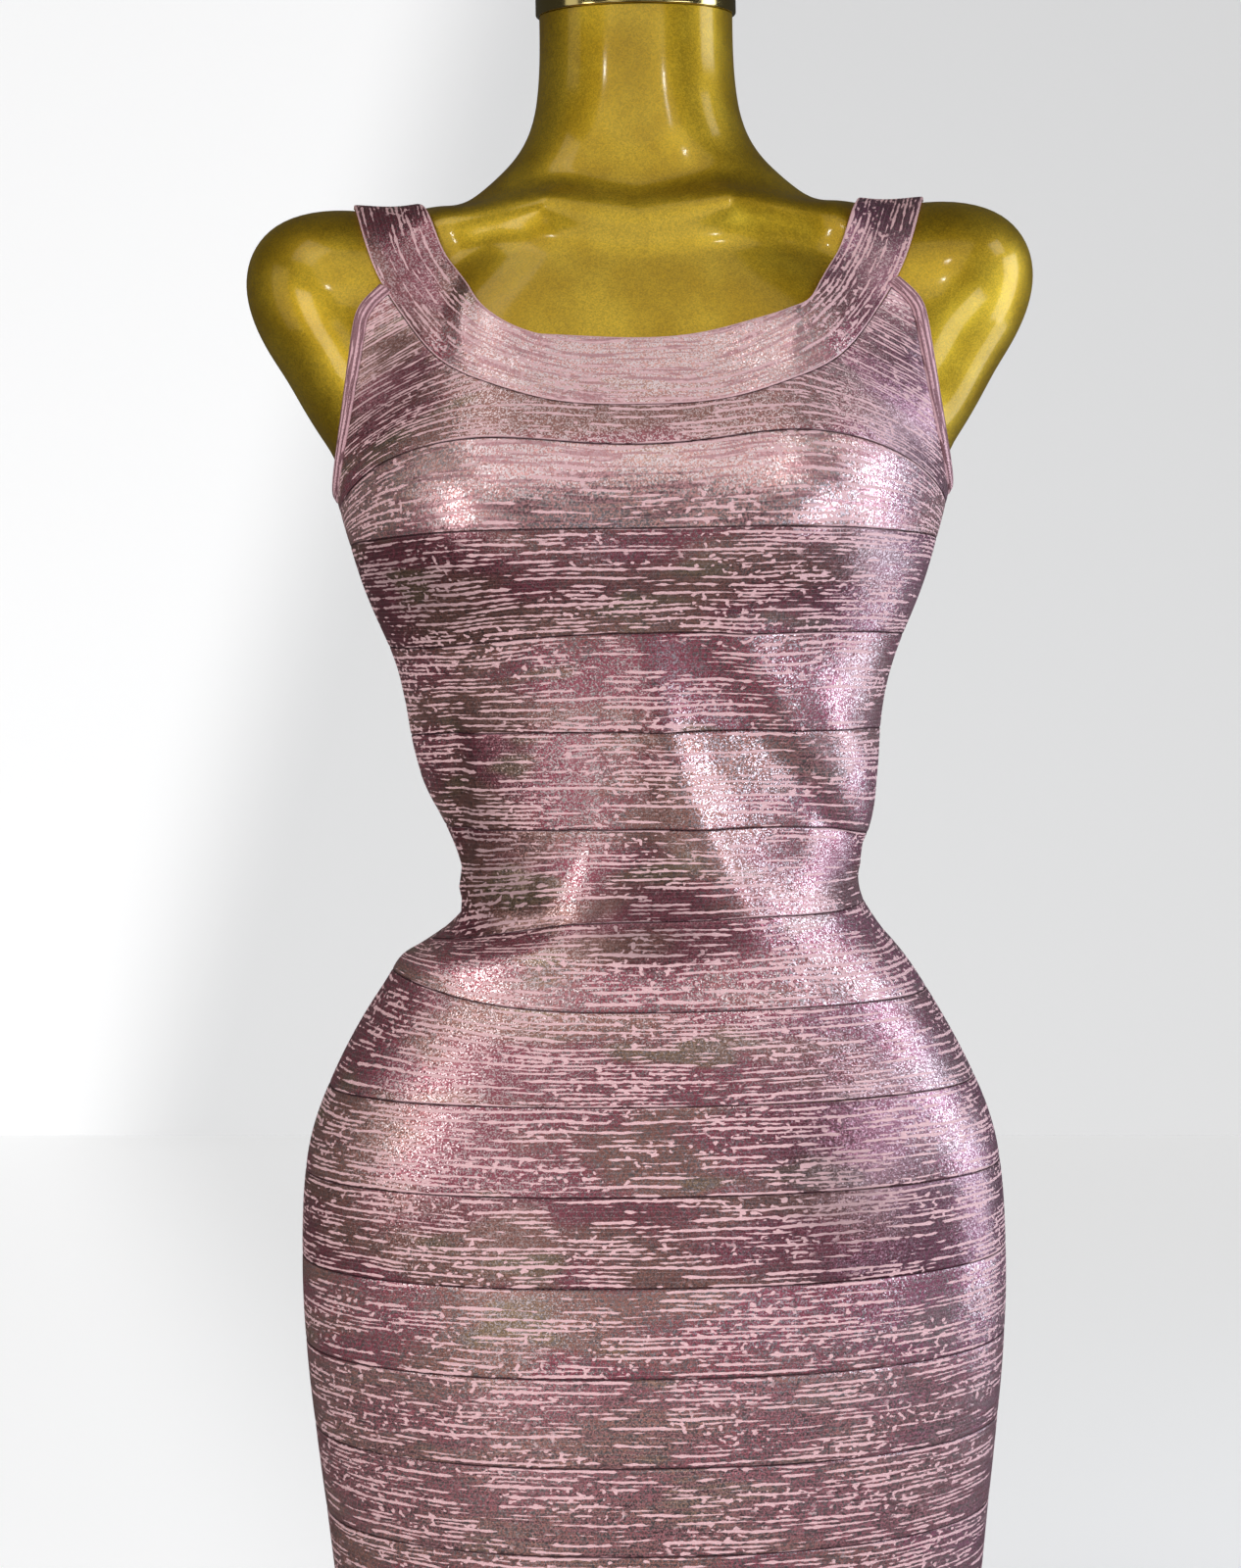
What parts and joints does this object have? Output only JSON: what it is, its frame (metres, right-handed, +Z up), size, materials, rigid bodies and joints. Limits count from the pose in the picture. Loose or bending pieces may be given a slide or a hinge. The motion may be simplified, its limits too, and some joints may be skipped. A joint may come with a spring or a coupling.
{
  "type": "bodycon dress on a limbless dress form",
  "caption": "Sleeveless scoop-neck bodycon dress of foil-printed knitted strips, worn by a smooth gold armless display torso with a polished neck cap.",
  "frame": {"origin": "middle of the display torso's flat foot, on the surface that it stands on", "axes": "+Z up, the dress faces -Y, its wearer's left side is +X"},
  "size_m": [0.4238, 0.2593, 1.0327],
  "materials": {
    "foil_knit": "pink knit with streaky metallic mauve foil print",
    "knit_edging": "folded pink knit binding with little foil",
    "gold_paint": "glossy olive-gold flake paint",
    "polished_gold": "polished"
  },
  "bodies": {
    "root": {"neckband_front": "foil_knit", "neckband_back": "foil_knit", "front_yoke": "foil_knit", "back_yoke": "foil_knit", "front_band_01": "foil_knit", "front_band_02": "foil_knit", "front_band_03": "foil_knit", "front_band_04": "foil_knit", "front_band_05": "foil_knit", "front_band_06": "foil_knit", "front_band_07": "foil_knit", "front_band_08": "foil_knit", "front_band_09": "foil_knit", "front_band_10": "foil_knit", "front_band_11": "foil_knit", "front_band_12": "foil_knit", "front_band_13": "foil_knit", "front_band_14": "foil_knit", "front_band_15": "foil_knit", "back_band_01": "foil_knit", "back_band_02": "foil_knit", "back_band_03": "foil_knit", "back_band_04": "foil_knit", "back_band_05": "foil_knit", "back_band_06": "foil_knit", "back_band_07": "foil_knit", "back_band_08": "foil_knit", "back_band_09": "foil_knit", "back_band_10": "foil_knit", "back_band_11": "foil_knit", "back_band_12": "foil_knit", "back_band_13": "foil_knit", "back_band_14": "foil_knit", "back_band_15": "foil_knit", "armhole_binding_left": "knit_edging", "armhole_binding_right": "knit_edging", "form_torso": "gold_paint", "form_neck_cap": "polished_gold"}
  },
  "joints": []
}
